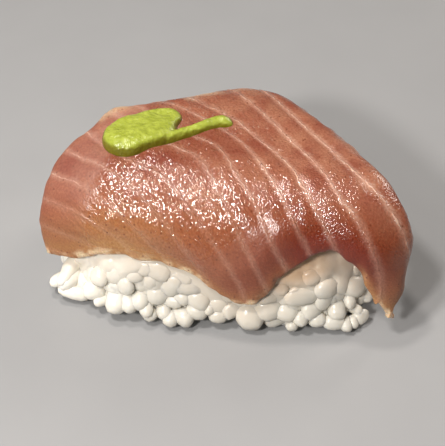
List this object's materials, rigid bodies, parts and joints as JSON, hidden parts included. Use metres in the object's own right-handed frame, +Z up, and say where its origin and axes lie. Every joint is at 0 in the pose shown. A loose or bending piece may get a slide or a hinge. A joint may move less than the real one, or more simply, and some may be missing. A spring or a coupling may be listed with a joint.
{
  "type": "raw fish nigiri with wasabi",
  "caption": "Hand-pressed oblong bed of sushi rice with a draped slice of raw fish and a smeared dab of wasabi on top, for plates and table settings.",
  "frame": {"origin": "middle of the rice bed's flat base", "axes": "+X along the bed towards the slice's pointed tip, +Y away from the slice's long wavy edge, +Z up"},
  "size_m": [0.0664, 0.0413, 0.0292],
  "materials": {
    "rice": "cooked short-grain rice, moist and slightly translucent",
    "fish": "raw fish, wet and translucent, with pale tendon lines",
    "wasabi": "smooth grated wasabi paste, moist"
  },
  "bodies": {
    "root": {"rice_bed": "rice", "fish_slice": "fish", "wasabi_dab": "wasabi"}
  },
  "joints": []
}
